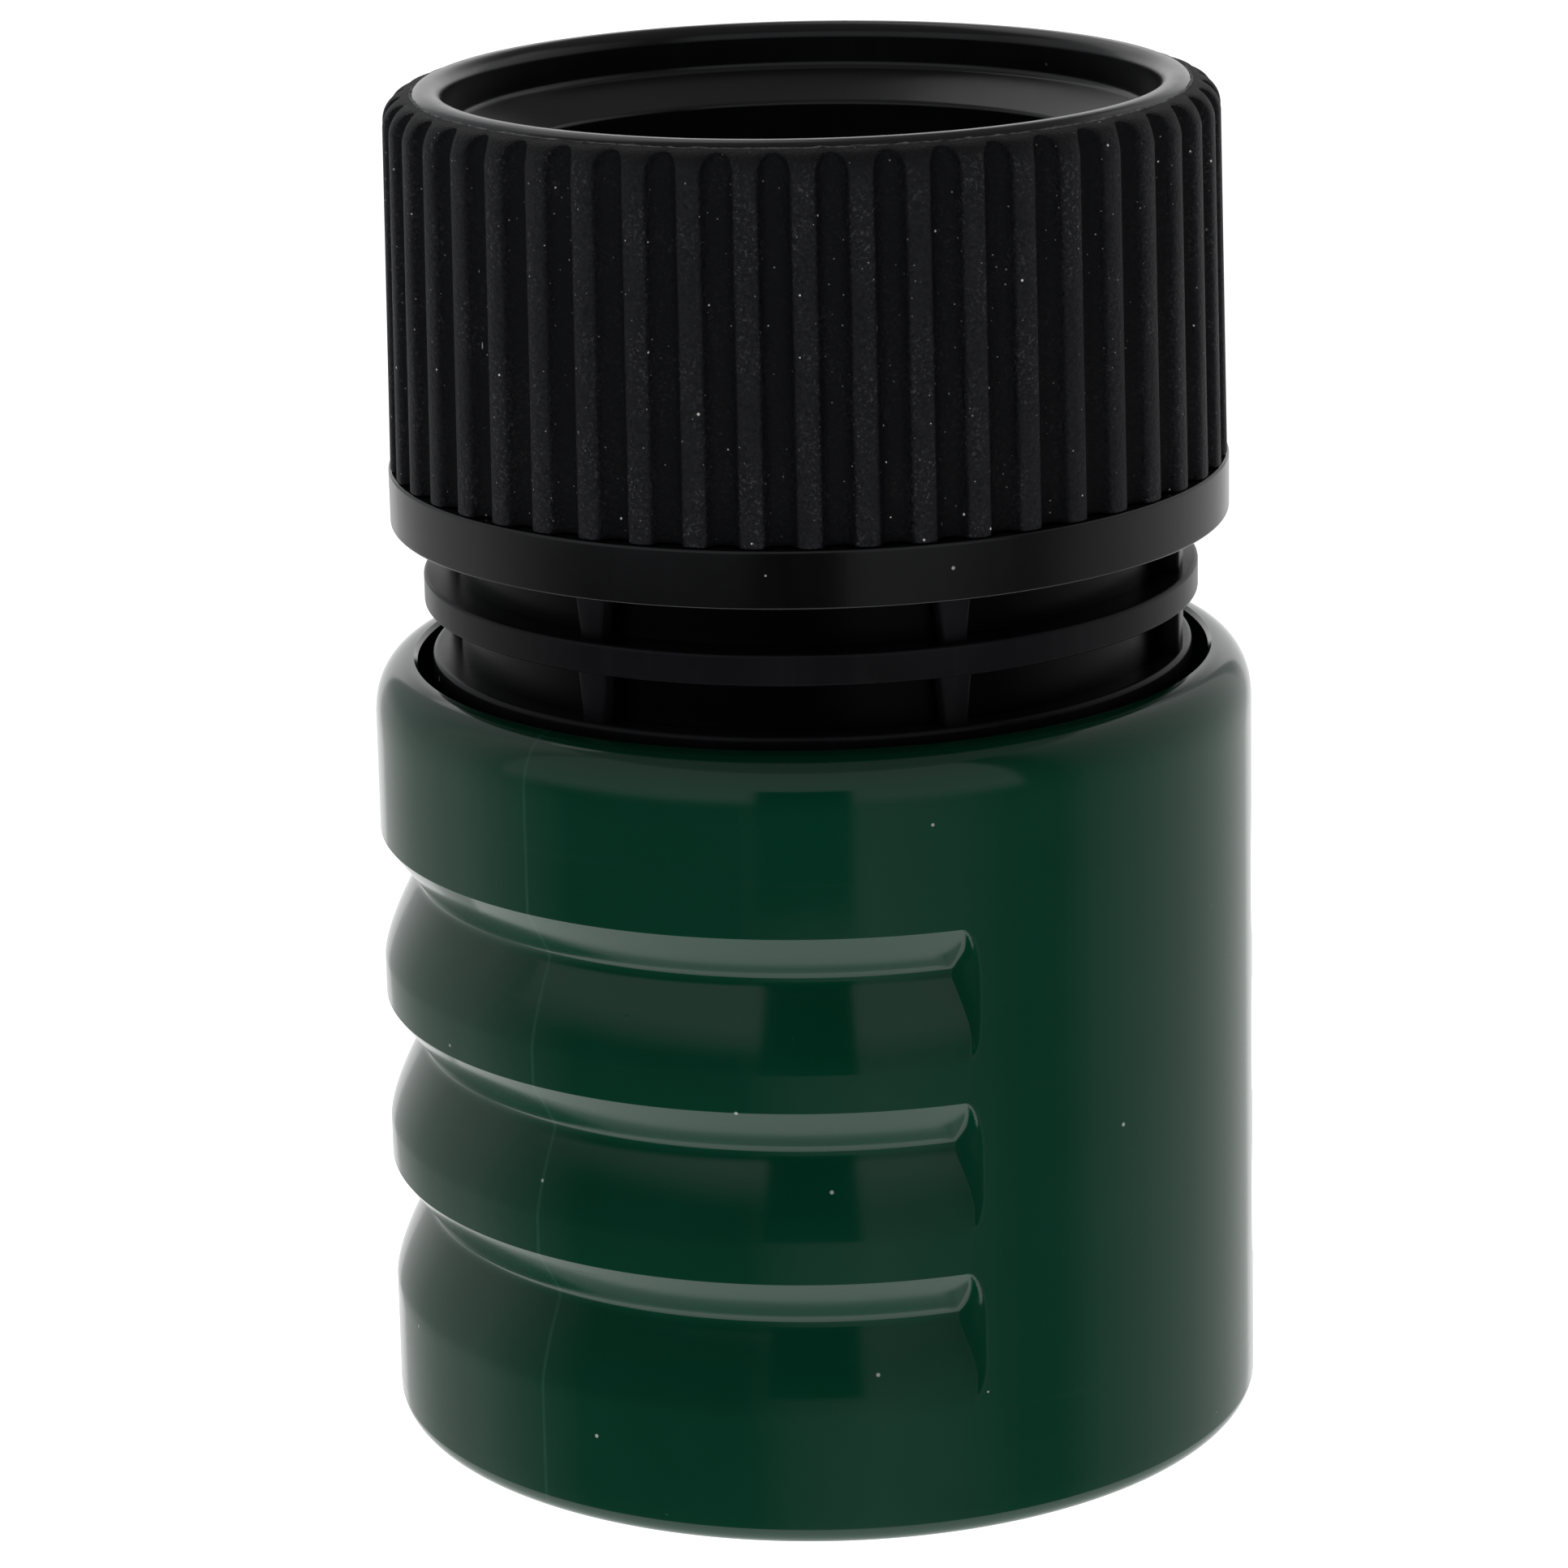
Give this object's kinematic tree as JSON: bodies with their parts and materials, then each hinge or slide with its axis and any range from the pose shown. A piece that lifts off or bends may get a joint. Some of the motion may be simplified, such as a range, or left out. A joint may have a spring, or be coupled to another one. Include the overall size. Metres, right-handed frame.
{
  "type": "garden hose quick connector",
  "caption": "Female garden hose quick connector with fluted clamp nut, gusseted neck, grooved sliding release collar, locking claws and water-stop valve.",
  "frame": {"origin": "centre of the collar's socket-end rest face", "axes": "+Z along the connector's axis towards the hose end; +X and +Y are square to it, with the middle of the one smooth panel between the finger grooves 39 degrees from +X towards -Y"},
  "size_m": [0.0359, 0.036, 0.055],
  "materials": {
    "collar_green": "glossy dark green moulded plastic with faint scuffs and a fine mould line",
    "moulded_black": "satin-gloss black moulded plastic",
    "grip_rubber": "matt black soft-touch rubber with light dust",
    "acetal_white": "off-white acetal, slightly waxy",
    "seal_rubber": "smooth black rubber, lightly greased",
    "spring_steel": "drawn stainless spring wire"
  },
  "bodies": {
    "body": {"neck_body": "moulded_black", "hose_tail": "moulded_black", "tail_seal": "seal_rubber", "joint_gasket": "seal_rubber", "valve_guide": "acetal_white", "socket_tube": "moulded_black", "plug_seal": "seal_rubber", "end_ring": "moulded_black", "collar_spring": "spring_steel", "valve_spring": "spring_steel"},
    "collet": {"hose_collet": "moulded_black"},
    "nut": {"nut_shell": "moulded_black", "nut_grip": "grip_rubber"},
    "collar": {"slide_collar": "collar_green"},
    "poppet": {"valve_poppet": "acetal_white", "valve_seal": "seal_rubber"},
    "claw_1": {"claw_1": "acetal_white"},
    "claw_2": {"claw_2": "acetal_white"},
    "claw_3": {"claw_3": "acetal_white"},
    "claw_4": {"claw_4": "acetal_white"}
  },
  "joints": [
    {"name": "collet_lift", "type": "slide", "parent": "body", "child": "collet", "axis": [0, 0, 1], "range_m": [0, 0.00451]},
    {"name": "nut_turn", "type": "hinge", "parent": "collet", "child": "nut", "pos_m": [0, 0, 0.0465], "axis": [0, 0, 1], "range_deg": [0, 540]},
    {"name": "collar_pull", "type": "slide", "parent": "body", "child": "collar", "axis": [0, 0, 1], "range_m": [0, 0.004], "stiffness_N_per_m": 900, "springref_m": -0.006, "deforming": ["collar_spring"]},
    {"name": "poppet_lift", "type": "slide", "parent": "body", "child": "poppet", "axis": [0, 0, 1], "range_m": [0, 0.003], "stiffness_N_per_m": 150, "springref_m": -0.004, "deforming": ["valve_spring"]},
    {"name": "claw_1_slide", "type": "slide", "parent": "body", "child": "claw_1", "axis": [0.7071, 0.7071, 0], "range_m": [0, 0.00121]},
    {"name": "claw_2_slide", "type": "slide", "parent": "body", "child": "claw_2", "axis": [-0.7071, 0.7071, 0], "range_m": [0, 0.00121]},
    {"name": "claw_3_slide", "type": "slide", "parent": "body", "child": "claw_3", "axis": [-0.7071, -0.7071, 0], "range_m": [0, 0.00121]},
    {"name": "claw_4_slide", "type": "slide", "parent": "body", "child": "claw_4", "axis": [0.7071, -0.7071, 0], "range_m": [0, 0.00121]}
  ],
  "couplings": [
    {"joint": "collet_lift", "follows": "nut_turn", "m_per_rad": 0.00047746},
    {"joint": "claw_1_slide", "follows": "collar_pull", "ratio": 0.3},
    {"joint": "claw_2_slide", "follows": "collar_pull", "ratio": 0.3},
    {"joint": "claw_3_slide", "follows": "collar_pull", "ratio": 0.3},
    {"joint": "claw_4_slide", "follows": "collar_pull", "ratio": 0.3}
  ]
}
